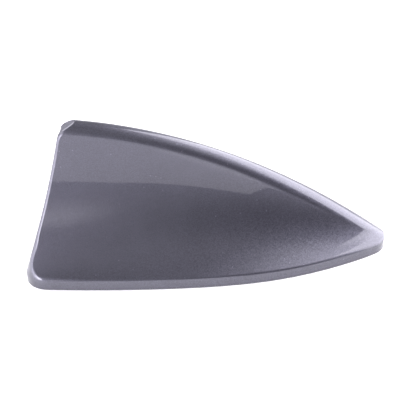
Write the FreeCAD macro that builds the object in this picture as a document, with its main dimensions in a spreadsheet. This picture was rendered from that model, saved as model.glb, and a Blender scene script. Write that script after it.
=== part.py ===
import FreeCAD, Part
import math
import os
import Sketcher

# Roof antenna cover: one hollow injection-moulded cap, open underneath.
# Frame: +X to the nose, +Y to the left, +Z up, origin at the bottom centre of the bounding box. Millimetres.
os.makedirs("parts", exist_ok=True)
V = FreeCAD.Vector
doc = FreeCAD.newDocument("antenna_cover")
sheet = doc.addObject("Spreadsheet::Sheet", "Dims")
row = [0]


def size(name, value):
    """One sized dimension: a labelled cell with an alias."""
    row[0] += 1
    sheet.set("A%d" % row[0], name)
    sheet.set("B%d" % row[0], "%.6g" % value)
    sheet.setAlias("B%d" % row[0], name)


# overall and wall sizes
size("nose_x", 74.2)
size("rear_x", -74.2)                # foot of the rear wall, straight across in plan
size("nose_radius", 11.0)
size("corner_radius", 10.0)
size("skirt_height", 4.6)
size("wall_thick", 2.5)
size("rim_land", 3.2)
size("blank_height", 80.0)
# ridge line: height, slope and bend at the reference station
size("ridge_x", -54.5)
size("ridge_height", 58.7)
size("ridge_slope", 0.096)
size("ridge_bend", 0.0025)
# section: crown radius at the rear and towards the nose, steepest flank, edge slope share
size("crown_rear", 5.2)
size("crown_gain", 1.2)
size("flank_steep", 80.0)
size("edge_share", 0.45)
# rear wall: upright foot, then a long hollow sweep leaning forwards, a round and a lip over the top
size("foot_height", 5.6)
size("foot_blend", 5.0)
size("lean_foot", 22.0)
size("lean_head", 12.2)
size("lean_lip", 62.0)
size("sweep_radius", 275.0)
size("round_radius", 6.0)
size("lip_length", 30.0)
# edge rounds
size("edge_round", 1.2)
# half width of the plan at its stations
SIDE = [(-92.8, 28.2), (-63.8, 30.9), (-40.3, 31.95), (-16.8, 31.85), (10.9, 29.9), (35.5, 24.5), (52.8, 17.8)]
for i, (x, h) in enumerate(SIDE):
    size("side_x_%d" % (i + 1), x)
    size("side_half_%d" % (i + 1), h)
doc.recompute()


def val(name):
    return float(sheet.get(name))


# ---------------------------------------------------------------- plan half width as a smooth curve
NOSE_C = val("nose_x") - val("nose_radius")
JOIN_ANG = math.radians(59.0)
JOIN = (NOSE_C + val("nose_radius") * math.cos(JOIN_ANG), val("nose_radius") * math.sin(JOIN_ANG))
side_pts = [(val("side_x_%d" % (i + 1)), val("side_half_%d" % (i + 1))) for i in range(len(SIDE))] + [JOIN]


def natural_spline(pts):
    n = len(pts)
    xs = [p[0] for p in pts]
    ys = [p[1] for p in pts]
    a = [0.0] * n
    b = [1.0] * n
    c = [0.0] * n
    d = [0.0] * n
    for i in range(1, n - 1):
        h0, h1 = xs[i] - xs[i - 1], xs[i + 1] - xs[i]
        a[i], b[i], c[i] = h0, 2 * (h0 + h1), h1
        d[i] = 6 * ((ys[i + 1] - ys[i]) / h1 - (ys[i] - ys[i - 1]) / h0)
    for i in range(1, n):
        k = a[i] / b[i - 1]
        b[i] -= k * c[i - 1]
        d[i] -= k * d[i - 1]
    m = [0.0] * n
    m[-1] = d[-1] / b[-1]
    for i in range(n - 2, -1, -1):
        m[i] = (d[i] - c[i] * m[i + 1]) / b[i]

    def f(x):
        i = 0
        while i < n - 2 and x > xs[i + 1]:
            i += 1
        h, t0, t1 = xs[i + 1] - xs[i], xs[i + 1] - x, x - xs[i]
        return ((m[i] * t0 ** 3 + m[i + 1] * t1 ** 3) / (6 * h) + (ys[i] / h - m[i] * h / 6) * t0
                + (ys[i + 1] / h - m[i + 1] * h / 6) * t1)
    return f


# past the nose arc the theoretical half width runs on smoothly, so the top surface reaches beyond the outline
half_width = natural_spline(side_pts + [(78.2, 3.9), (89.2, 0.6)])


# ---------------------------------------------------------------- cross-section of the top surface
def ridge(x):
    d = x - val("ridge_x")
    return val("ridge_height") - val("ridge_slope") * d - val("ridge_bend") * d * d


def soft_min(p, q, w):
    return -w * math.log(math.exp(-p / w) + math.exp(-q / w))


def section(x):
    """Half profile at station x, from the ridge (first) out past the rim (last), as (half width, height)."""
    w = half_width(x)
    zt = ridge(x)
    crown = val("crown_rear") + val("crown_gain") / (1 + math.exp(-(x - 19.2) / 22.0))
    rim = soft_min(val("skirt_height"), zt - 0.25, 0.5)
    steep = math.radians(val("flank_steep"))
    top = 0.8
    for _ in range(60):
        sx, sz = crown * math.sin(top), zt - crown + crown * math.cos(top)
        mean = math.atan2(sz - rim, w - sx)
        arc = (2 - val("edge_share")) * mean
        top = 0.5 * top + 0.5 * soft_min(arc, steep, 0.05)
    low = val("edge_share") * mean
    sx, sz = crown * math.sin(top), zt - crown + crown * math.cos(top)
    # the two end tangents meet at (tx, tz)
    c0, s0, c1, s1 = math.cos(low), math.sin(low), math.cos(top), math.sin(top)
    det = -c0 * s1 + c1 * s0
    run = ((sx - w) * (s1) + (sz - rim) * c1) / det
    tx, tz = w - c0 * run, rim + s0 * run
    k = 0.62
    p0, p3 = (w, rim), (sx, sz)
    p1 = (w + k * (tx - w), rim + k * (tz - rim))
    p2 = (sx + k * (tx - sx), sz + k * (tz - sz))
    pts = []
    n = 120
    for j in range(n):
        a = top * j / float(n)
        pts.append((crown * math.sin(a), zt - crown + crown * math.cos(a)))
    n = 600
    for j in range(n + 1):
        t = 1 - j / float(n)
        q = 1 - t
        pts.append(tuple(q ** 3 * p0[i] + 3 * q * q * t * p1[i] + 3 * q * t * t * p2[i] + t ** 3 * p3[i] for i in (0, 1)))
    pts.append((w + 0.25 * w * c0, rim - 0.25 * w * s0))
    # even share of the length at every station, closer together at the crown
    run = [0.0]
    for p, q in zip(pts, pts[1:]):
        run.append(run[-1] + math.hypot(q[0] - p[0], q[1] - p[1]))
    out = []
    i = 0
    for j in range(COLS):
        want = run[-1] * (j / float(COLS - 1)) ** 1.5
        while i < len(run) - 2 and run[i + 1] < want:
            i += 1
        k = (want - run[i]) / (run[i + 1] - run[i])
        out.append((pts[i][0] + k * (pts[i + 1][0] - pts[i][0]), pts[i][1] + k * (pts[i + 1][1] - pts[i][1])))
    return out


COLS = 30
STATIONS = (-90, -80, -70, -60, -49, -38, -26, -14, -2, 9, 19, 28, 36.5, 44, 50.5, 56.5, 61.5, 66, 70, 73.5, 77, 81)
grid = []
for x in STATIONS:
    half = section(float(x))
    grid.append([V(x, -h, z) for h, z in reversed(half[1:])] + [V(x, h, z) for h, z in half])
skin = Part.BSplineSurface()
skin.interpolate(grid)


def inset(depth):
    """The top surface moved inwards by depth, as a surface of its own."""
    u0, u1, v0, v1 = skin.bounds()
    rows = []
    for line in grid:
        out = []
        for p in line:
            u, v = skin.parameter(p)
            n = skin.normal(min(max(u, u0), u1), min(max(v, v0), v1))
            if n.z < 0:
                n = n * -1
            out.append(p - n * depth)
        rows.append(out)
    s = Part.BSplineSurface()
    s.interpolate(rows)
    return s


def under(name, surf):
    """Everything below a top surface."""
    face = doc.addObject("Part::Feature", name + "_skin")
    face.Shape = surf.toShape()
    ext = doc.addObject("Part::Extrusion", name + "_solid")
    ext.Base = face
    ext.DirMode = "Custom"
    ext.Dir = V(0, 0, -1)
    ext.setExpression("LengthFwd", "Dims.blank_height")
    ext.Solid = True
    return ext


# ---------------------------------------------------------------- walls: plan outline, rear sweep
def origin_plane(body, role):
    return [f for f in body.Origin.OriginFeatures if f.Role == role][0]


def side_normal(x):
    e = 1e-3
    s = (half_width(x + e) - half_width(x - e)) / (2 * e)
    if x > JOIN[0] - 1e-6:
        s = -1.0 / math.tan(JOIN_ANG)
    q = math.hypot(1, s)
    return s / q, -1.0 / q          # unit vector pointing inwards


def corner_centre():
    """Centre of the rear corner round, tangent to the side curve and to the rear line; also its touching station."""
    r = val("corner_radius")
    lo, hi = -75.0, -50.0
    for _ in range(60):
        x = 0.5 * (lo + hi)
        nx, ny = side_normal(x)
        cx, cy = x + r * nx, half_width(x) + r * ny
        if cx < val("rear_x") + r:
            lo = x
        else:
            hi = x
    return x, (cx, cy)


TOUCH_X, CORNER = corner_centre()


def unit(x, y):
    q = math.hypot(x, y)
    return x / q, y / q


def outline(off):
    """Key points of the plan outline moved inwards by off: rear tangent, corner, side curve, nose join."""
    r = val("corner_radius") - off
    rear_t = (CORNER[0] - r, CORNER[1])
    nx, ny = side_normal(TOUCH_X)
    side_t = (CORNER[0] - r * nx, CORNER[1] - r * ny)
    side = []
    n = 14
    for i in range(n + 1):
        x = TOUCH_X + (JOIN[0] - TOUCH_X) * i / n
        h = JOIN[1] if i == n else half_width(x)
        nx, ny = side_normal(x)
        side.append((x + off * nx, h + off * ny))
    return rear_t, side_t, side


def arc3(p, c, r, q):
    """Arc of centre c and radius r from p to q, the short way."""
    mx, my = unit((p[0] + q[0]) / 2 - c[0], (p[1] + q[1]) / 2 - c[1])
    return Part.Arc(V(p[0], p[1], 0), V(c[0] + r * mx, c[1] + r * my, 0), V(q[0], q[1], 0))


def bind(text, off):
    return text if off == 0 else "%s - %g" % (text, off)


def closed_sketch(body, name, plane, geo, height=None):
    sk = body.newObject("Sketcher::SketchObject", name)
    sk.AttachmentSupport = [(origin_plane(body, plane), "")]
    sk.MapMode = "FlatFace"
    if height:
        sk.setExpression("AttachmentOffset.Base.z", height)
    ids = [sk.addGeometry(g, False) for g in geo]
    return sk, ids


def walls(name, off):
    """Everything inside the outer walls, moved inwards by off."""
    rear_t, side_t, side = outline(off)
    mir = lambda p: (p[0], -p[1])
    # foot: the whole outline, upright
    foot = doc.addObject("PartDesign::Body", name + "_foot")
    left = Part.BSplineCurve()
    left.interpolate([V(x, h, 0) for x, h in side])
    right = Part.BSplineCurve()
    right.interpolate([V(x, -h, 0) for x, h in side])
    rn, rc = val("nose_radius") - off, val("corner_radius") - off
    nose = Part.ArcOfCircle(Part.Circle(V(NOSE_C, 0, 0), V(0, 0, 1), rn), -JOIN_ANG, JOIN_ANG)
    rear = Part.LineSegment(V(rear_t[0], rear_t[1], 0), V(rear_t[0], -rear_t[1], 0))
    geo = [left, right, nose, arc3(side_t, CORNER, rc, rear_t), rear, arc3(mir(rear_t), mir(CORNER), rc, mir(side_t))]
    sk, ids = closed_sketch(foot, name + "_plan", "XY_Plane", geo)
    for i in ids[:2]:
        sk.addConstraint(Sketcher.Constraint("Block", i))
    for a, pa, b, pb in ((2, 1, 1, 2), (2, 2, 0, 2)):
        sk.addConstraint(Sketcher.Constraint("Coincident", ids[a], pa, ids[b], pb))
    c = sk.addConstraint(Sketcher.Constraint("Radius", ids[2], rn))
    sk.setExpression("Constraints[%d]" % c, bind("Dims.nose_radius", off))
    for i in ids[3:]:
        sk.addConstraint(Sketcher.Constraint("Block", i))
    doc.recompute()
    pad = foot.newObject("PartDesign::Pad", name + "_pad")
    pad.Profile = sk
    pad.setExpression("Length", "Dims.foot_height")
    doc.recompute()
    # upper wall: the rear line and corners carried up along the leaning rear profile, sides wide open
    lean = doc.addObject("PartDesign::Body", name + "_lean")
    flare = math.tan(math.radians(8.0))
    fx = 110.0
    far = (fx, side_t[1] + (fx - side_t[0]) * flare)
    geo = [Part.LineSegment(V(far[0], -far[1], 0), V(far[0], far[1], 0)),
           Part.LineSegment(V(far[0], far[1], 0), V(side_t[0], side_t[1], 0)),
           arc3(side_t, CORNER, rc, rear_t), Part.LineSegment(V(rear_t[0], rear_t[1], 0), V(rear_t[0], -rear_t[1], 0)),
           arc3(mir(rear_t), mir(CORNER), rc, mir(side_t)),
           Part.LineSegment(V(side_t[0], -side_t[1], 0), V(far[0], -far[1], 0))]
    us, ids = closed_sketch(lean, name + "_rear", "XY_Plane", geo, "Dims.foot_height")
    for i in ids:
        us.addConstraint(Sketcher.Constraint("Block", i))
    a0, a1, a2 = (math.radians(val(k)) for k in ("lean_foot", "lean_head", "lean_lip"))
    R, r = val("sweep_radius"), val("round_radius")
    xf, zf = rear_t[0], val("foot_height")
    f = val("foot_blend") + off
    # the foot blends from upright into the lean
    x0, z0 = xf + f * (1 - math.cos(a0)), zf + f * math.sin(a0)
    am = 0.5 * a0
    ease = Part.Arc(V(xf, zf, 0), V(xf + f * (1 - math.cos(am)), zf + f * math.sin(am), 0), V(x0, z0, 0))
    # long sweep: leans a0 at the foot, a1 at the head; centre lies behind
    cx, cz = x0 - R * math.cos(a0), z0 + R * math.sin(a0)
    x1, z1 = cx + R * math.cos(a1), cz - R * math.sin(a1)
    am = 0.5 * (a0 + a1)
    sweep = Part.Arc(V(x0, z0, 0), V(cx + R * math.cos(am), cz - R * math.sin(am), 0), V(x1, z1, 0))
    r = r - off if off else r
    bx, bz = x1 + r * math.cos(a1), z1 - r * math.sin(a1)
    x2, z2 = bx - r * math.cos(a2), bz + r * math.sin(a2)
    am = 0.5 * (a1 + a2)
    turn = Part.Arc(V(x1, z1, 0), V(bx - r * math.cos(am), bz + r * math.sin(am), 0), V(x2, z2, 0))
    L = val("lip_length")
    lip = Part.LineSegment(V(x2, z2, 0), V(x2 + L * math.sin(a2), z2 + L * math.cos(a2), 0))
    sp, ids = closed_sketch(lean, name + "_spine", "XZ_Plane", [ease, sweep, turn, lip])
    for i in ids:
        sp.addConstraint(Sketcher.Constraint("Block", i))
    doc.recompute()
    pipe = lean.newObject("PartDesign::AdditivePipe", name + "_sweep")
    pipe.Profile = us
    pipe.Spine = (sp, ["Edge1", "Edge2", "Edge3", "Edge4"])
    pipe.Mode = "Fixed"
    doc.recompute()
    both = doc.addObject("Part::MultiFuse", name)
    both.Shapes = [foot, lean]
    doc.recompute()
    return both


def check(tag):
    """Stops on the first object that did not rebuild or holds no sound shape."""
    doc.recompute()
    for o in doc.Objects:
        if "Invalid" in o.State or "Error" in o.State:
            raise RuntimeError("%s: %s %s" % (tag, o.Name, o.getStatusString()))


# ---------------------------------------------------------------- outside: walls under the skin, rounded all along the rim
outer_walls = walls("outer_walls", 0.0)
outer_top = under("outer", skin)
check("outer")
blank = doc.addObject("Part::MultiCommon", "blank")
blank.Shapes = [outer_walls, outer_top]
check("blank")


def rim_edges(shape):
    """Edges that bound the top skin, each with its edge round."""
    top = max((f for f in shape.Faces if f.Surface.TypeId == "Part::GeomBSplineSurface"), key=lambda f: f.Area)
    out = []
    for i, e in enumerate(shape.Edges):
        if any(e.isSame(t) for t in top.Edges):
            out.append((i + 1, val("edge_round"), val("edge_round")))
    return out


outside = doc.addObject("Part::Fillet", "outside")
outside.Base = blank
outside.Edges = rim_edges(blank.Shape)
check("outside")

# ---------------------------------------------------------------- inside: the same form, one wall thickness in
inner_walls = walls("inner_walls", val("rim_land"))
inner_top = under("inner", inset(val("wall_thick")))
check("inner")
cavity = doc.addObject("Part::MultiCommon", "cavity")
cavity.Shapes = [inner_walls, inner_top]
check("cavity")
cover = doc.addObject("Part::Cut", "antenna_cover")
cover.Base = outside
cover.Tool = cavity
cover.Label = "antenna_cover"
check("cover")

for part in (cover,):
    s = part.Shape
    if s.isNull() or not s.isValid() or len(s.Solids) != 1:
        raise RuntimeError("%s: %d solids, valid %s" % (part.Label, len(s.Solids), s.isValid()))
    s.Solids[0].exportStep("parts/%s.step" % part.Label)
    b = s.Solids[0].optimalBoundingBox(False, True) if hasattr(s, "optimalBoundingBox") else s.BoundBox
    print(part.Label, "volume", round(s.Volume), "faces", len(s.Faces), b)
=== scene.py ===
import math
import bpy
import numpy as np
from mathutils import Vector, Matrix


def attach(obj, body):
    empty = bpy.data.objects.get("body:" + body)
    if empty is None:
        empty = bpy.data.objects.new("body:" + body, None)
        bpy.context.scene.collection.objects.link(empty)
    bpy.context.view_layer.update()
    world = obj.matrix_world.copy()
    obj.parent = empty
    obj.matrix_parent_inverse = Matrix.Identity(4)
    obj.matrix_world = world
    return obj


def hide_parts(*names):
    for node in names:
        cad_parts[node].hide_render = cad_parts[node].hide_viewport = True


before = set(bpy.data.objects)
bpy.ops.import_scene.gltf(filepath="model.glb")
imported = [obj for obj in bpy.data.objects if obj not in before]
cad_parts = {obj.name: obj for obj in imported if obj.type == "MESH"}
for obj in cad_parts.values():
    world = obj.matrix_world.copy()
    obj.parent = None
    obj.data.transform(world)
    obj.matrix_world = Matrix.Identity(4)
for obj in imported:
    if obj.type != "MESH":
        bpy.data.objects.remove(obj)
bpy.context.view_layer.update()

# ------------------------------------------------------------------ sizes of the cover in millimetres
NOSE_X, REAR_X, NOSE_R, CORNER_R, SKIRT = 74.2, -74.2, 11.0, 10.0, 4.6
WALL, LAND = 2.5, 3.2
RIDGE_X, RIDGE_H, RIDGE_SLOPE, RIDGE_BEND = -54.5, 58.7, 0.096, 0.0025
CROWN_REAR, CROWN_GAIN, STEEP, SHARE = 5.2, 1.2, 80.0, 0.45
FOOT_H, FOOT_BLEND, LEAN_FOOT, LEAN_HEAD, LEAN_LIP = 2.8, 5.0, 20.0, 12.2, 62.0
SWEEP_R, ROUND_R = 366.0, 6.0
EDGE_REAR, EDGE_CORNER, EDGE_SIDE, BASE_R = 1.7, 2.5, 1.2, 0.35
SIDE = [(-92.8, 28.2), (-63.8, 30.9), (-40.3, 31.95), (-16.8, 31.85), (10.9, 29.9), (35.5, 24.5), (52.8, 17.8)]
NOSE_C = NOSE_X - NOSE_R
JOIN_A = math.radians(59.0)
JOIN = (NOSE_C + NOSE_R * math.cos(JOIN_A), NOSE_R * math.sin(JOIN_A))


def natural_spline(pts):
    xs = np.array([p[0] for p in pts])
    ys = np.array([p[1] for p in pts])
    n = len(pts)
    h = np.diff(xs)
    A = np.eye(n)
    r = np.zeros(n)
    for i in range(1, n - 1):
        A[i, i - 1], A[i, i], A[i, i + 1] = h[i - 1], 2 * (h[i - 1] + h[i]), h[i]
        r[i] = 6 * ((ys[i + 1] - ys[i]) / h[i] - (ys[i] - ys[i - 1]) / h[i - 1])
    m = np.linalg.solve(A, r)

    def f(x):
        i = int(min(max(np.searchsorted(xs, x) - 1, 0), n - 2))
        t0, t1 = xs[i + 1] - x, x - xs[i]
        return float((m[i] * t0 ** 3 + m[i + 1] * t1 ** 3) / (6 * h[i]) + (ys[i] / h[i] - m[i] * h[i] / 6) * t0
                     + (ys[i + 1] / h[i] - m[i + 1] * h[i] / 6) * t1)
    return f


half_width = natural_spline(SIDE + [JOIN, (78.2, 3.9), (89.2, 0.6)])


def soft_min(p, q, w):
    return -w * math.log(math.exp(-p / w) + math.exp(-q / w))


NODES = 420
FN = (np.arange(NODES) / (NODES - 1.0)) ** 1.5
_cache = {}


def outer_slice(x):
    """Half section of the outer skin at station x: half widths and heights at the shares FN of its length, ridge first."""
    key = round(x, 6)
    if key in _cache:
        return _cache[key]
    w = half_width(x)
    d = x - RIDGE_X
    zt = RIDGE_H - RIDGE_SLOPE * d - RIDGE_BEND * d * d
    crown = CROWN_REAR + CROWN_GAIN / (1 + math.exp(-(x - 19.2) / 22.0))
    rim = soft_min(SKIRT, zt - 0.25, 0.5)
    steep = math.radians(STEEP)
    top = 0.8
    for _ in range(60):
        sx, sz = crown * math.sin(top), zt - crown + crown * math.cos(top)
        mean = math.atan2(sz - rim, w - sx)
        top = 0.5 * top + 0.5 * soft_min((2 - SHARE) * mean, steep, 0.05)
    low = SHARE * mean
    sx, sz = crown * math.sin(top), zt - crown + crown * math.cos(top)
    c0, s0, c1, s1 = math.cos(low), math.sin(low), math.cos(top), math.sin(top)
    run = ((sx - w) * s1 + (sz - rim) * c1) / (-c0 * s1 + c1 * s0)
    tx, tz = w - c0 * run, rim + s0 * run
    k = 0.62
    P = np.array([(w, rim), (w + k * (tx - w), rim + k * (tz - rim)), (sx + k * (tx - sx), sz + k * (tz - sz)), (sx, sz)])
    a = top * np.arange(160) / 160.0
    t = (1 - np.arange(901) / 900.0)[:, None]
    q = 1 - t
    flank = q ** 3 * P[0] + 3 * q * q * t * P[1] + 3 * q * t * t * P[2] + t ** 3 * P[3]
    pts = np.vstack([np.stack([crown * np.sin(a), zt - crown + crown * np.cos(a)], 1), flank,
                     [(w + 0.25 * w * c0, rim - 0.25 * w * s0)]])
    s = np.concatenate([[0], np.cumsum(np.hypot(*np.diff(pts, axis=0).T))])
    f = s / s[-1]
    out = (np.interp(FN, f, pts[:, 0]), np.interp(FN, f, pts[:, 1]))
    _cache[key] = out
    return out


def cubic(t):
    """Weights of the four neighbours for a smooth curve through the table's points."""
    return np.stack([-0.5 * t + t * t - 0.5 * t ** 3, 1 - 2.5 * t * t + 1.5 * t ** 3, 0.5 * t + 2 * t * t - 1.5 * t ** 3, -0.5 * t * t + 0.5 * t ** 3])


class Skin:
    """The top surface, moved inwards by depth, tabulated at even stations and read smoothly in between."""

    def __init__(self, depth, step=0.25):
        xs = np.arange(-90.0, 82.01, step)
        H, Z = (np.array(v) for v in zip(*[outer_slice(float(x)) for x in xs]))
        if depth:
            X = np.repeat(xs[:, None], NODES, 1)
            dh_x, dz_x = np.gradient(H, step, axis=0), np.gradient(Z, step, axis=0)
            dh_f, dz_f = np.gradient(H, axis=1), np.gradient(Z, axis=1)
            n = np.stack([dh_x * dz_f - dz_x * dh_f, -dz_f, dh_f], 2)
            n /= np.linalg.norm(n, axis=2)[:, :, None]
            X2, H2, Z2 = X - depth * n[:, :, 0], H - depth * n[:, :, 1], Z - depth * n[:, :, 2]
            H2[:, 0] = 0.0
            xs = np.arange(-86.0, 77.01, step)
            H = np.stack([np.interp(xs, X2[:, j], H2[:, j]) for j in range(NODES)], 1)
            Z = np.stack([np.interp(xs, X2[:, j], Z2[:, j]) for j in range(NODES)], 1)
        self.x0, self.step, self.H, self.Z = xs[0], step, H, Z

    def slice(self, x):
        t = (x - self.x0) / self.step
        i = int(min(max(math.floor(t), 1), len(self.H) - 3))
        w = cubic(np.array(t - i))
        return w @ self.H[i - 1:i + 3], w @ self.Z[i - 1:i + 3]

    def points(self, x, f):
        """Points for arrays of stations and shares, as an array with 3 columns."""
        x, f = np.asarray(x, float), np.clip(np.asarray(f, float), 0, 1)
        t = (x - self.x0) / self.step
        i = np.clip(np.floor(t).astype(int), 1, len(self.H) - 3)
        wi = cubic(t - i)
        q = f ** (1 / 1.5) * (NODES - 1)
        j = np.clip(np.floor(q).astype(int), 1, NODES - 3)
        wj = cubic(q - j)
        h = np.zeros_like(x)
        z = np.zeros_like(x)
        for a in range(4):
            for b in range(4):
                w = wi[a] * wj[b]
                h += w * self.H[i - 1 + a, j - 1 + b]
                z += w * self.Z[i - 1 + a, j - 1 + b]
        h[f <= 1e-9] = 0.0
        return np.stack([x, h, z], -1)

    def normals(self, x, f):
        x, f = np.asarray(x, float), np.asarray(f, float)
        e = 0.05
        du = self.points(x + e, f) - self.points(x - e, f)
        df = 0.003 * np.maximum(f, 0.1)
        hi = self.points(x, np.minimum(f + df, 1.0))
        lo = self.points(x, np.maximum(f - df, 0.0))
        mid = f <= df
        lo[mid] = hi[mid] * np.array([1, -1, 1])
        # close to the ridge the section is a round: blend its slope by half width
        n = np.cross(du, hi - lo)
        n /= np.linalg.norm(n, axis=-1)[..., None]
        near = (f > 1e-9) & mid
        if near.any():
            full = self.normals(x[near], np.full(int(near.sum()), 1.0) * df[near] * 1.01)
            k = (f[near] / (df[near] * 1.01))[:, None]
            n[near] = k * full + (1 - k) * n[near]
            n /= np.linalg.norm(n, axis=-1)[..., None]
        flip = n[..., 2] < 0
        n[flip] *= -1
        return n


OUTER = Skin(0.0)
INNER = Skin(WALL)


def pos(skin, x, f):
    return skin.points(np.array([x]), np.array([f]))[0]


def height(skin, x, y):
    h, z = skin.slice(x)
    return float(np.interp(y, h, z))


def width(skin, x, z):
    h, zz = skin.slice(x)
    return float(np.interp(-z, -zz, h))


def share(skin, x, y):
    h, z = skin.slice(x)
    return float(np.interp(y, h, np.arange(NODES)) / (NODES - 1.0)) ** 1.5


def skin_normal(skin, x, f):
    return skin.normals(np.array([x]), np.array([f]))[0]


# ------------------------------------------------------------------ walls
def side_in(x):
    """Unit vector into the plan at the side curve."""
    e = 1e-3
    s = (half_width(x + e) - half_width(x - e)) / (2 * e)
    if x > JOIN[0] - 1e-6:
        s = -1.0 / math.tan(JOIN_A)
    q = math.hypot(1, s)
    return np.array([s / q, -1.0 / q])


lo, hi = -75.0, -50.0
for _ in range(60):
    TOUCH_X = 0.5 * (lo + hi)
    CORNER = np.array([TOUCH_X, half_width(TOUCH_X)]) + CORNER_R * side_in(TOUCH_X)
    if CORNER[0] < REAR_X + CORNER_R:
        lo = TOUCH_X
    else:
        hi = TOUCH_X


class Rear:
    """How far the rear wall has moved forwards at height z, and its slope; off is the inset of the wall."""

    def __init__(self, off):
        a0, a1, a2 = (math.radians(v) for v in (LEAN_FOOT, LEAN_HEAD, LEAN_LIP))
        f, R, r = FOOT_BLEND + off, SWEEP_R, ROUND_R - off
        self.f, self.R, self.r, self.a2 = f, R, r, a2
        self.x0, self.z0 = f * (1 - math.cos(a0)), FOOT_H + f * math.sin(a0)
        self.cx, self.cz = self.x0 - R * math.cos(a0), self.z0 + R * math.sin(a0)
        self.x1, self.z1 = self.cx + R * math.cos(a1), self.cz - R * math.sin(a1)
        self.bx, self.bz = self.x1 + r * math.cos(a1), self.z1 - r * math.sin(a1)
        self.x2, self.z2 = self.bx - r * math.cos(a2), self.bz + r * math.sin(a2)

    def at(self, z):
        if z <= FOOT_H:
            return 0.0, 0.0
        if z <= self.z0:
            a = math.asin((z - FOOT_H) / self.f)
            return self.f * (1 - math.cos(a)), math.tan(a)
        if z <= self.z1:
            a = math.asin((self.cz - z) / self.R)
            return self.cx + self.R * math.cos(a), math.tan(a)
        if z <= self.z2:
            a = math.asin((z - self.bz) / self.r)
            return self.bx - self.r * math.cos(a), math.tan(a)
        return self.x2 + (z - self.z2) * math.tan(self.a2), math.tan(self.a2)


N_CROWN, N_FLANK, N_CORNER, N_SIDE, N_NOSE = 18, 64, 18, 130, 20


def outline(kind, u, off):
    """Plan point and outward normal: kind rear by y, corner by angle share, side by X, nose by angle share."""
    if kind == "rear":
        return np.array([REAR_X + off, u]), np.array([-1.0, 0.0])
    if kind == "corner":
        n1 = -side_in(TOUCH_X)
        a1 = math.atan2(n1[1], n1[0])
        a = math.pi + (a1 - math.pi) * u
        n = np.array([math.cos(a), math.sin(a)])
        return CORNER + (CORNER_R - off) * n, n
    if kind == "side":
        n = -side_in(u)
        h = JOIN[1] if u > JOIN[0] - 1e-6 else half_width(u)
        return np.array([u, h]) - off * n, n
    n = np.array([math.cos(JOIN_A * (1 - u)), math.sin(JOIN_A * (1 - u))])
    return np.array([NOSE_C, 0.0]) + (NOSE_R - off) * n, n


def loop(skin, off):
    """Where skin and wall meet, from the rear top round one side to the nose tip: list of (kind, u, plan point, plan normal, height)."""
    rear = Rear(off)
    out = []

    def meet(p):
        a, b = 1.0, 66.0
        for _ in range(46):
            z = 0.5 * (a + b)
            if height(skin, p[0] + rear.at(z)[0], p[1]) > z:
                a = z
            else:
                b = z
        return 0.5 * (a + b)

    y_end = outline("corner", 0.0, off)[0][1]
    # over the crown: even steps in y until the flank gets steep
    p, n = outline("rear", 0.0, off)
    z_top = meet(p)
    x_top = p[0] + rear.at(z_top)[0]
    z_turn = z_top - 2.6
    y = width(skin, x_top - 3.0, z_turn)
    for _ in range(12):
        p, n = outline("rear", y, off)
        y = width(skin, p[0] + rear.at(z_turn)[0], z_turn)
    y_turn = y
    for i in range(N_CROWN):
        u = y_turn * math.sin(0.5 * math.pi * i / N_CROWN) if i else 0.0
        p, n = outline("rear", u, off)
        out.append(("rear", u, p, n, meet(p)))
    # down the rear edge: even steps along it
    p, n = outline("rear", y_end, off)
    z_end = meet(p)
    zs = np.linspace(z_turn, z_end, 160)
    ys = []
    y = y_turn
    for z in zs:
        for _ in range(8):
            p, n = outline("rear", min(y, y_end + 1.0), off)
            y = width(skin, p[0] + rear.at(z)[0], z)
        ys.append(y)
    ys = np.array(ys)
    s = np.concatenate([[0], np.cumsum(np.hypot(np.diff(ys), np.diff(zs)))])
    for k in range(N_FLANK):
        t = s[-1] * k / N_FLANK
        z, y = float(np.interp(t, s, zs)), float(np.interp(t, s, ys))
        p, n = outline("rear", y, off)
        out.append(("rear", y, p, n, z))
    for k in range(N_CORNER):
        p, n = outline("corner", k / N_CORNER, off)
        out.append(("corner", k / N_CORNER, p, n, meet(p)))
    for k in range(N_SIDE):
        x = TOUCH_X + (JOIN[0] - TOUCH_X) * k / N_SIDE
        p, n = outline("side", x, off)
        out.append(("side", x, p, n, height(skin, p[0], p[1])))
    for k in range(N_NOSE + 1):
        p, n = outline("nose", k / N_NOSE, off)
        if k == N_NOSE:
            p = np.array([p[0], 0.0])
        out.append(("nose", k / N_NOSE, p, n, height(skin, p[0], p[1])))
    return out


# ------------------------------------------------------------------ one welded mesh with its own normals
class Builder:
    def __init__(self):
        self.verts, self.index, self.faces, self.normals = [], {}, [], []

    def vert(self, p):
        key = (round(p[0], 4) + 0.0, round(p[1], 4) + 0.0, round(p[2], 4) + 0.0)
        if key not in self.index:
            self.index[key] = len(self.verts)
            self.verts.append(tuple(float(c) for c in p))
        return self.index[key]

    def face(self, pts, nrm, flip):
        ids, ns = [], []
        for p, n in zip(pts, nrm):
            i = self.vert(p)
            if i not in ids:
                ids.append(i)
                ns.append(tuple(float(c) for c in n))
        if len(ids) < 3:
            return
        if not flip:
            ids, ns = ids[::-1], ns[::-1]
        self.faces.append(ids)
        self.normals.append(ns)

    def grid(self, P, N, mirror=True, flip=False):
        """P and N: rows by columns by 3 arrays. Built as given and, mirrored, on the other side."""
        for side in ((1, -1) if mirror else (1,)):
            m = np.array([1, side, 1])
            A, B = P * m, N * m
            for i in range(P.shape[0] - 1):
                for j in range(P.shape[1] - 1):
                    idx = ((i, j), (i + 1, j), (i + 1, j + 1), (i, j + 1))
                    self.face([A[a] for a in idx], [B[a] for a in idx], flip != (side < 0))

    def mesh(self, name):
        me = bpy.data.meshes.new(name)
        me.from_pydata([(x * 0.001, y * 0.001, z * 0.001) for x, y, z in self.verts], [], self.faces)
        me.polygons.foreach_set("use_smooth", [True] * len(me.polygons))
        me.update()
        flat = [n for f in self.normals for n in f]
        me.normals_split_custom_set(flat)
        me.update()
        return me


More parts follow.
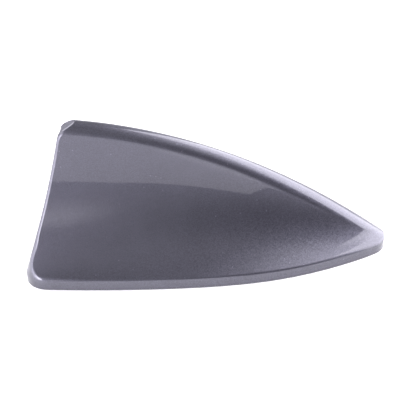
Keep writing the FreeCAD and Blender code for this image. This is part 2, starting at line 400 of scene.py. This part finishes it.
def patch(skin, start, split):
    """Half of a skin as a four-sided grid: rear edge, rim, nose tip, ridge. start holds (x, share) round the edge."""
    L, B = np.array(start[:split + 1]), np.array(start[split:])
    L[0, 1] = 0.0
    tip = np.array([B[-1, 0], 0.0])
    B[-1] = tip
    u = (B[:, 0] - B[0, 0]) / (tip[0] - B[0, 0])
    v = L[:, 1] / L[-1, 1]
    T = np.stack([L[0, 0] + (tip[0] - L[0, 0]) * u, np.zeros(len(u))], 1)
    U, W = u[:, None, None], v[None, :, None]
    S = ((1 - U) * L[None] + U * tip + (1 - W) * T[:, None] + W * B[:, None]
         - ((1 - U) * (1 - W) * T[0] + U * (1 - W) * tip + (1 - U) * W * B[0] + U * W * tip))
    shape = S.shape[:2]
    x, f = S[..., 0].ravel(), np.maximum(S[..., 1].ravel(), 0)
    P, N = skin.points(x, f).reshape(shape + (3,)), skin.normals(x, f).reshape(shape + (3,))
    return P, N


def ease(t):
    t = min(max(t, 0.0), 1.0)
    return t * t * (3 - 2 * t)


def build_cover():
    b = Builder()
    rear = Rear(0.0)
    out = loop(OUTER, 0.0)
    n_all = len(out)
    ARC = 8
    top_start, arc_p, arc_n, wall_base = [], [], [], []
    for i, (kind, u, p, n, z) in enumerate(out):
        # edge round: fullest round the rear corner, finest along the side and the nose
        past = i - N_CROWN - N_FLANK
        if past < 0:
            edge = EDGE_REAR + (EDGE_CORNER - EDGE_REAR) * ease(1 + past / 9.0)
        else:
            edge = EDGE_SIDE + (EDGE_CORNER - EDGE_SIDE) * ease(1 - (past - N_CORNER) / 18.0)
        s, ds = rear.at(z) if kind in ("rear", "corner") else (0.0, 0.0)
        x = p[0] + s
        E = np.array([x, p[1], z])
        n1 = skin_normal(OUTER, x, share(OUTER, x, p[1]))
        if p[1] < 1e-9:
            n1 = np.array([n1[0], 0.0, n1[2]]) / math.hypot(n1[0], n1[2])
        n2 = np.array([n[0], n[1], -n[0] * ds])
        n2 /= np.linalg.norm(n2)
        C = E - edge * (n1 + n2) / (1 + n1 @ n2)
        T1, T2 = C + edge * n1, C + edge * n2
        if p[1] < 1e-9:
            T1[1] = T2[1] = C[1] = 0.0
        # both ends back onto the true surfaces
        f1 = share(OUTER, T1[0], abs(T1[1])) if p[1] > 1e-9 else 0.0
        S1 = pos(OUTER, T1[0], f1)
        top_start.append((T1[0], f1))
        s2, ds2 = rear.at(T2[2]) if kind in ("rear", "corner") else (0.0, 0.0)
        if kind == "rear" or (kind == "corner" and T2[1] < outline("corner", 0, 0)[0][1]):
            base, nb = outline("rear", max(T2[1], 0.0), 0.0)
        elif kind == "corner":
            d = np.array([T2[0] - s2, T2[1]]) - CORNER
            nb = d / np.linalg.norm(d)
            base = CORNER + CORNER_R * nb
        else:
            base, nb = p, n
        S2 = np.array([base[0] + s2, base[1], T2[2]])
        w2 = np.array([nb[0], nb[1], -nb[0] * ds2])
        w2 /= np.linalg.norm(w2)
        w1 = skin_normal(OUTER, T1[0], f1)
        if p[1] < 1e-9:
            w1 = np.array([w1[0], 0.0, w1[2]]) / math.hypot(w1[0], w1[2])
        ang = math.acos(max(-1.0, min(1.0, float(n1 @ n2))))
        row_p, row_n = [], []
        for k in range(ARC + 1):
            t = k / ARC
            nn = (math.sin((1 - t) * ang) * n1 + math.sin(t * ang) * n2) / math.sin(ang)
            q = C + edge * nn + (1 - t) * (S1 - T1) + t * (S2 - T2)
            row_p.append(q)
            m = nn + (1 - t) ** 3 * (w1 - n1) + t ** 3 * (w2 - n2)
            row_n.append(m / np.linalg.norm(m))
        arc_p.append(row_p)
        arc_n.append(row_n)
        wall_base.append((kind, base, nb, T2[2]))
    arc_p, arc_n = np.array(arc_p), np.array(arc_n)
    split = N_CROWN + N_FLANK + N_CORNER // 2
    P, N = patch(OUTER, top_start, split)
    P[0, :], N[0, :] = arc_p[:split + 1, 0], arc_n[:split + 1, 0]
    P[:, -1], N[:, -1] = arc_p[split:, 0], arc_n[split:, 0]
    b.grid(P, N, flip=True)
    b.grid(arc_p, arc_n, flip=True)
    # walls down to the base round
    ROWS = 34
    WP, WN = np.zeros((n_all, ROWS + 1, 3)), np.zeros((n_all, ROWS + 1, 3))
    for i, (kind, base, nb, zt) in enumerate(wall_base):
        for k in range(ROWS + 1):
            z = zt + (BASE_R - zt) * (k / ROWS) ** 0.9
            s, ds = rear.at(z) if kind in ("rear", "corner") else (0.0, 0.0)
            WP[i, k] = (base[0] + s, base[1], z)
            w = np.array([nb[0], nb[1], -nb[0] * ds])
            WN[i, k] = w / np.linalg.norm(w)
    WP[:, 0] = arc_p[:, -1]
    WN[:, 0] = arc_n[:, -1]
    b.grid(WP, WN, flip=True)
    # base round and flat land
    inner = loop(INNER, LAND)
    BP, BN = np.zeros((n_all, 5, 3)), np.zeros((n_all, 5, 3))
    for i, (kind, base, nb, zt) in enumerate(wall_base):
        for k in range(5):
            a = 0.5 * math.pi * k / 4
            BP[i, k] = (base[0] - nb[0] * BASE_R * (1 - math.cos(a)), base[1] - nb[1] * BASE_R * (1 - math.cos(a)), BASE_R * (1 - math.sin(a)))
            BN[i, k] = (nb[0] * math.cos(a), nb[1] * math.cos(a), -math.sin(a))
    b.grid(BP, BN, flip=True)
    LP = np.stack([BP[:, -1], np.array([(p[0], p[1], 0.0) for _, _, p, _, _ in inner])], 1)
    LN = np.zeros_like(LP)
    LN[:, :, 2] = -1
    b.grid(LP, LN, flip=True)
    # inside walls
    b.inside = len(b.faces)
    rin = Rear(LAND)
    IP, IN = np.zeros((n_all, ROWS + 1, 3)), np.zeros((n_all, ROWS + 1, 3))
    start = []
    for i, (kind, u, p, n, zt) in enumerate(inner):
        for k in range(ROWS + 1):
            z = zt * (k / ROWS) ** 1.1
            s, ds = rin.at(z) if kind in ("rear", "corner") else (0.0, 0.0)
            IP[i, k] = (p[0] + s, p[1], z)
            w = np.array([-n[0], -n[1], n[0] * ds])
            IN[i, k] = w / np.linalg.norm(w)
        x = IP[i, -1, 0]
        start.append((x, share(INNER, x, p[1]) if p[1] > 1e-9 else 0.0))
    b.grid(IP, IN, flip=True)
    P, N = patch(INNER, start, split)
    P[0, :] = IP[:split + 1, -1]
    P[:, -1] = IP[split:, -1]
    b.grid(P, -N, flip=False)
    return b


builder = build_cover()
mesh = builder.mesh("antenna_cover_skin")
cover = bpy.data.objects.new("cover", mesh)
bpy.context.scene.collection.objects.link(cover)
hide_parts("antenna_cover")
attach(cover, "root")
import bmesh
bm = bmesh.new()
bm.from_mesh(mesh)
print("cover mesh", len(bm.verts), len(bm.faces), "open edges", sum(1 for e in bm.edges if not e.is_manifold), "volume mm3", round(bm.calc_volume(signed=True) * 1e9))
bm.free()

# ------------------------------------------------------------------ materials
class Nodes:
    """Small helper: makes nodes and links in one material."""

    def __init__(self, name):
        self.mat = bpy.data.materials.new(name)
        self.mat.use_nodes = True
        self.tree = self.mat.node_tree
        self.bsdf = self.tree.nodes["Principled BSDF"]

    def node(self, kind, **props):
        n = self.tree.nodes.new(kind)
        for k, v in props.items():
            setattr(n, k, v)
        return n

    def link(self, a, b):
        self.tree.links.new(a, b)

    def put(self, n, **values):
        for k, v in values.items():
            n.inputs[k.replace("_", " ")].default_value = v

    def maths(self, op, a, b=None):
        n = self.node("ShaderNodeMath", operation=op)
        for i, v in enumerate((a, b)):
            if v is None:
                continue
            if isinstance(v, (int, float)):
                n.inputs[i].default_value = v
            else:
                self.link(v, n.inputs[i])
        return n.outputs[0]

    def ramp(self, fac, stops):
        n = self.node("ShaderNodeValToRGB")
        e = n.color_ramp.elements
        while len(e) < len(stops):
            e.new(0.5)
        for i, (at, c) in enumerate(stops):
            e[i].position = at
            e[i].color = (c, c, c, 1) if isinstance(c, (int, float)) else (*c, 1)
        self.link(fac, n.inputs["Fac"])
        return n.outputs["Color"]

    def noise(self, scale, detail=2.0, rough=0.5):
        n = self.node("ShaderNodeTexNoise")
        self.link(self.coord, n.inputs["Vector"])
        self.put(n, Scale=scale, Detail=detail, Roughness=rough)
        return n.outputs["Fac"]

    @property
    def coord(self):
        if not hasattr(self, "_coord"):
            self._coord = self.node("ShaderNodeTexCoord").outputs["Object"]
        return self._coord


def paint():
    """Graphite metallic base with small tilted flakes, under a gloss clear coat with a trace of orange peel."""
    m = Nodes("graphite_paint")
    # flakes: one random tilt and brightness for each small cell
    cell = m.node("ShaderNodeTexVoronoi", voronoi_dimensions="3D", feature="F1")
    m.link(m.coord, cell.inputs["Vector"])
    m.put(cell, Scale=FLAKES)
    off = m.node("ShaderNodeVectorMath", operation="SUBTRACT")
    m.link(cell.outputs["Color"], off.inputs[0])
    off.inputs[1].default_value = (0.5, 0.5, 0.5)
    amount = m.node("ShaderNodeVectorMath", operation="SCALE")
    m.link(off.outputs["Vector"], amount.inputs[0])
    amount.inputs["Scale"].default_value = FLAKE_TILT
    geo = m.node("ShaderNodeNewGeometry")
    add = m.node("ShaderNodeVectorMath", operation="ADD")
    m.link(geo.outputs["Normal"], add.inputs[0])
    m.link(amount.outputs["Vector"], add.inputs[1])
    unit = m.node("ShaderNodeVectorMath", operation="NORMALIZE")
    m.link(add.outputs["Vector"], unit.inputs[0])
    m.link(unit.outputs["Vector"], m.bsdf.inputs["Normal"])
    # colour: flake brightness, slow cloudiness of the sprayed coat, and a few bright flakes
    part = m.node("ShaderNodeSeparateColor")
    m.link(cell.outputs["Color"], part.inputs["Color"])
    cloud = m.noise(55.0, 3.0, 0.55)
    tone = m.maths("ADD", m.maths("MULTIPLY", part.outputs["Red"], 0.62), m.maths("MULTIPLY", cloud, 0.38))
    base = m.ramp(tone, [(0.12, PAINT_DARK), (0.88, PAINT_LIGHT)])
    spark = m.node("ShaderNodeTexVoronoi", voronoi_dimensions="3D", feature="F1")
    m.link(m.coord, spark.inputs["Vector"])
    m.put(spark, Scale=640.0)
    pick = m.node("ShaderNodeSeparateColor")
    m.link(spark.outputs["Color"], pick.inputs["Color"])
    rare = m.maths("GREATER_THAN", pick.outputs["Green"], 0.94)
    near = m.maths("LESS_THAN", spark.outputs["Distance"], 0.16)
    both = m.maths("MULTIPLY", rare, near)
    mix = m.node("ShaderNodeMix", data_type="RGBA")
    m.link(both, mix.inputs["Factor"])
    m.link(base, mix.inputs["A"])
    mix.inputs["B"].default_value = (*[c * 1.45 for c in PAINT_LIGHT], 1)
    m.link(mix.outputs["Result"], m.bsdf.inputs["Base Color"])
    # base gloss varies a little with the cloudiness
    rough = m.maths("ADD", m.maths("MULTIPLY", cloud, 0.08), PAINT_ROUGH - 0.04)
    m.link(rough, m.bsdf.inputs["Roughness"])
    # clear coat with a fine orange peel
    peel = m.maths("ADD", m.noise(420.0, 1.0, 0.4), m.maths("MULTIPLY", m.noise(130.0, 1.0, 0.4), 2.0))
    bump = m.node("ShaderNodeBump")
    m.put(bump, Strength=1.0, Distance=PEEL)
    m.link(peel, bump.inputs["Height"])
    m.link(bump.outputs["Normal"], m.bsdf.inputs["Coat Normal"])
    m.put(m.bsdf, Metallic=PAINT_METAL, Coat_Weight=1.0, Coat_Roughness=COAT_ROUGH, Coat_IOR=1.5)
    return m.mat


def bare():
    """Unpainted moulded plastic of the inside: dark, with a fine spark-eroded grain and faint flow marks."""
    m = Nodes("bare_plastic")
    flow = m.noise(28.0, 3.0, 0.6)
    m.link(m.ramp(flow, [(0.25, (0.016, 0.016, 0.018)), (0.8, (0.03, 0.03, 0.033))]), m.bsdf.inputs["Base Color"])
    grain = m.noise(2600.0, 2.0, 0.6)
    m.link(m.maths("ADD", m.maths("MULTIPLY", grain, 0.16), 0.46), m.bsdf.inputs["Roughness"])
    bump = m.node("ShaderNodeBump")
    m.put(bump, Strength=0.6, Distance=0.00004)
    m.link(grain, bump.inputs["Height"])
    m.link(bump.outputs["Normal"], m.bsdf.inputs["Normal"])
    return m.mat


FLAKES, FLAKE_TILT = 3200.0, 0.09
PAINT_DARK, PAINT_LIGHT = (0.0585, 0.057, 0.0742), (0.0882, 0.0858, 0.1104)
PAINT_ROUGH, PAINT_METAL, COAT_ROUGH, PEEL = 0.42, 0.9, 0.02, 0.0000012
mesh.materials.append(paint())
mesh.materials.append(bare())
inside = builder.inside
mesh.polygons.foreach_set("material_index", [1 if i >= inside else 0 for i in range(len(mesh.polygons))])

# ------------------------------------------------------------------ stage, light, camera
scene = bpy.context.scene


def glow(name, colour, strength):
    m = bpy.data.materials.new(name)
    m.use_nodes = True
    t = m.node_tree
    t.nodes.clear()
    e = t.nodes.new("ShaderNodeEmission")
    e.inputs["Color"].default_value = (*colour, 1)
    e.inputs["Strength"].default_value = strength
    o = t.nodes.new("ShaderNodeOutputMaterial")
    t.links.new(e.outputs[0], o.inputs["Surface"])
    return m


def put_light(name, me):
    """A stage object that lights the cover but is out of the camera's sight."""
    ob = bpy.data.objects.new(name, me)
    scene.collection.objects.link(ob)
    ob.visible_camera = False
    ob.visible_shadow = False
    return ob


TINT = (1.0, 0.985, 1.06)


def panel(name, pts, strength, colour=TINT):
    """Upright panel over the floor points in pts, each with its low and high edge: x, y, low, high."""
    me = bpy.data.meshes.new(name)
    n = len(pts)
    me.from_pydata([(x, y, lo) for x, y, lo, hi in pts] + [(x, y, hi) for x, y, lo, hi in pts], [],
                   [(i, i + 1, n + i + 1, n + i) for i in range(n - 1)])
    me.materials.append(glow(name + "_glow", colour, strength))
    return put_light(name, me)


def soft(name, az, el, dist, wide, high, peak, colour=TINT):
    """Soft round light, or soft dark flag, facing the cover: az from the viewer's side towards the nose, el above the floor, degrees."""
    a, e = math.radians(az), math.radians(el)
    d = Vector((math.sin(a) * math.cos(e), -math.cos(a) * math.cos(e), math.sin(e)))
    me = bpy.data.meshes.new(name)
    me.from_pydata([(-1, -1, 0), (1, -1, 0), (1, 1, 0), (-1, 1, 0)], [], [(0, 1, 2, 3)])
    m = bpy.data.materials.new(name + "_glow")
    m.use_nodes = True
    t = m.node_tree
    t.nodes.clear()
    co = t.nodes.new("ShaderNodeTexCoord")
    g = t.nodes.new("ShaderNodeTexGradient")
    g.gradient_type = "SPHERICAL"
    t.links.new(co.outputs["Object"], g.inputs["Vector"])
    ramp = t.nodes.new("ShaderNodeValToRGB")
    ramp.color_ramp.interpolation = "EASE"
    t.links.new(g.outputs["Fac"], ramp.inputs["Fac"])
    out = t.nodes.new("ShaderNodeOutputMaterial")
    em = t.nodes.new("ShaderNodeEmission")
    em.inputs["Color"].default_value = (*colour, 1)
    em.inputs["Strength"].default_value = peak
    clear = t.nodes.new("ShaderNodeBsdfTransparent")
    mix = t.nodes.new("ShaderNodeMixShader")
    t.links.new(ramp.outputs["Color"], mix.inputs["Fac"])
    t.links.new(clear.outputs[0], mix.inputs[1])
    t.links.new(em.outputs[0], mix.inputs[2])
    t.links.new(mix.outputs[0], out.inputs["Surface"])
    me.materials.append(m)
    ob = put_light(name, me)
    ob.location = Vector((0, 0, 0.02)) + d * dist
    ob.rotation_euler = d.to_track_quat("Z", "Y").to_euler()
    ob.scale = (wide / 2, high / 2, 1)
    return ob


floor_me = bpy.data.meshes.new("floor")
floor_me.from_pydata([(-3, -3, -0.0002), (3, -3, -0.0002), (3, 3, -0.0002), (-3, 3, -0.0002)], [], [(0, 1, 2, 3)])
floor = bpy.data.objects.new("floor", floor_me)
scene.collection.objects.link(floor)
fm = bpy.data.materials.new("floor_pale")
fm.use_nodes = True
fb = fm.node_tree.nodes["Principled BSDF"]
fb.inputs["Base Color"].default_value = (0.9, 0.9, 0.9, 1)
fb.inputs["Roughness"].default_value = 0.8
fb.inputs["Specular IOR Level"].default_value = 0.1
fb.inputs["Emission Color"].default_value = (1, 1, 1, 1)
fb.inputs["Emission Strength"].default_value = 0.32
floor_me.materials.append(fm)

world = bpy.data.worlds.new("studio")
scene.world = world
world.use_nodes = True
world.node_tree.nodes["Background"].inputs["Color"].default_value = (1, 0.99, 1.04, 1)
world.node_tree.nodes["Background"].inputs["Strength"].default_value = 0.45

# low strip in front with a sloping top edge, tall panel to the right and behind, upright panels to the left
panel("strip_front", [(-0.60, -0.51, 0, 0.09), (-0.13, -0.51, 0, 0.106), (-0.04, -0.51, 0, 0.121), (0.18, -0.51, 0, 0.124)], 1.86)
panel("panel_nose", [(2.62, -1.22, 0, 1.35), (1.56, -0.36, 0, 1.9), (0.85, 0.21, 0, 1.64), (0.7, 0.33, 0, 1.6)], 5.8)
panel("panel_right", [(0.7, 0.33, 0, 1.6), (0.22, 0.72, 0, 1.35)], 5.4)
panel("panel_left", [(-0.6, -0.76, 0, 0.62), (-0.6, -0.3, 0, 0.55)], 6.8)
panel("panel_rear", [(-0.6, -0.3, 0, 0.55), (-0.6, 0.15, 0, 0.55)], 3.8)
panel("panel_rear_high", [(-0.6, -0.35, 0.55, 0.85), (-0.6, 0.1, 0.55, 0.85)], 5.0)
# low grey cards behind, so the ridge does not burn out against the floor, and a panel above them on the left
panel("card_left", [(-0.4, 0.28, 0, 0.16), (-0.1, 0.28, 0, 0.15)], 0.55, (0.98, 0.97, 1.12))
panel("card_middle", [(-0.1, 0.28, 0, 0.15), (0.03, 0.28, 0, 0.14)], 1.5)
panel("card_right", [(0.03, 0.28, 0, 0.13), (0.34, 0.28, 0, 0.12)], 0.72)
panel("stripe_rear", [(-0.45, 0.28, 0.16, 0.5), (-0.17, 0.28, 0.16, 0.5)], 4.8)
# soft lights high on the right and low in front on the left, soft dark flag low in front on the right
soft("high_right", 104, 60, 1.5, 2.5, 1.5, 2.2)
soft("high_left", -8, 56, 1.5, 2.6, 1.5, 0.62)
soft("corner_left", -52, 22, 0.8, 0.5, 0.5, 19.0)
soft("edge_left", -22, 19, 0.8, 0.22, 0.24, 4.6)
soft("haze_left", -14, 21.5, 0.82, 0.4, 0.24, 1.7)
soft("flag_right", 38, 28, 1.1, 1.6, 1.5, 0.08)

cam_data = bpy.data.cameras.new("camera")
cam = bpy.data.objects.new("camera", cam_data)
scene.collection.objects.link(cam)
scene.camera = cam
cam_data.sensor_width = 36.0
cam_data.lens = 36.0 * 860.5 / 416.0
cam_data.clip_start = 0.01
az, el, dist = math.radians(-2.0), math.radians(30.0), 0.34395
look = Vector((-0.00125, -0.0115, 0.02484))
back = Vector((math.sin(az) * math.cos(el), -math.cos(az) * math.cos(el), math.sin(el)))
cam.location = look + back * dist
cam.rotation_euler = (back).to_track_quat("Z", "Y").to_euler()

scene.view_settings.view_transform = "Standard"
scene.view_settings.look = "None"
